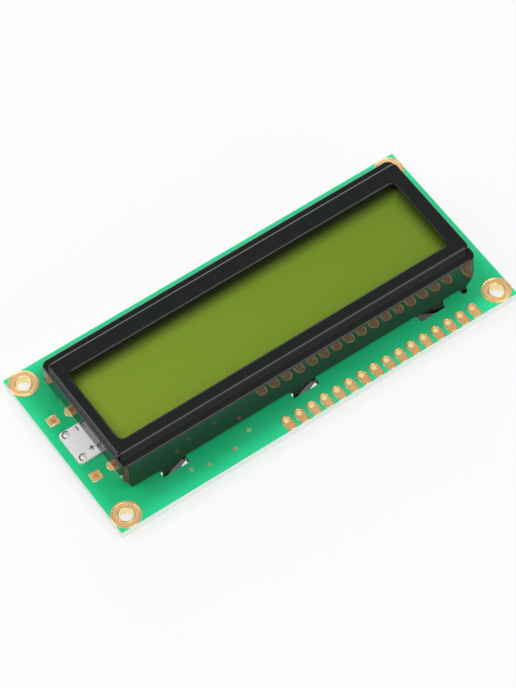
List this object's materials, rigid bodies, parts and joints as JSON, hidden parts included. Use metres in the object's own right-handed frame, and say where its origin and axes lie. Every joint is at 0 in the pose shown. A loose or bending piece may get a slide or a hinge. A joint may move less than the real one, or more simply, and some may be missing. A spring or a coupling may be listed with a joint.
{
  "type": "character lcd module",
  "caption": "Character LCD module: framed glass display with edge backlight on a drilled circuit board.",
  "frame": {"origin": "centre of the module's outline on the plane of the twist tabs' ends, 1.5 mm under the circuit board", "axes": "+X along the board's 80 mm side, -Y is the connector side, +Z leaves the display face"},
  "size_m": [0.08, 0.036, 0.0127],
  "materials": {
    "solder_mask": "gloss",
    "gold_plate": "satin",
    "tinned_vias": "satin",
    "bezel_paint": "gloss",
    "front_polarizer": "gloss",
    "cell_glass": "gloss",
    "rear_polarizer": "satin",
    "strip_rubber": "matte",
    "diffuser": "matte",
    "guide_plastic": "gloss",
    "white_plastic": "satin",
    "white_mask": "satin",
    "led_plastic": "gloss",
    "solder": "satin",
    "epoxy": "satin",
    "chip_black": "satin",
    "chip_tan": "satin"
  },
  "bodies": {
    "root": {"circuit_board": "solder_mask", "mounting_ring_pads": "gold_plate", "connector_pads": "gold_plate", "square_lamp_pads": "gold_plate", "round_lamp_pads": "gold_plate", "signal_vias": "tinned_vias", "contact_fingers": "gold_plate", "bezel": "bezel_paint", "front_polarizer": "front_polarizer", "front_glass": "cell_glass", "rear_glass": "cell_glass", "rear_polarizer": "rear_polarizer", "contact_strip_near": "strip_rubber", "contact_strip_far": "strip_rubber", "diffuser_sheet": "diffuser", "light_guide": "guide_plastic", "lamp_frame": "white_plastic", "lamp_board": "white_mask", "lamp_leds": "led_plastic", "terminal_solder": "solder", "controller_cap": "epoxy", "driver_cap": "epoxy", "chip_resistors": "chip_black", "resistor_ends": "solder", "chip_capacitors": "chip_tan", "capacitor_ends": "solder"}
  },
  "joints": []
}
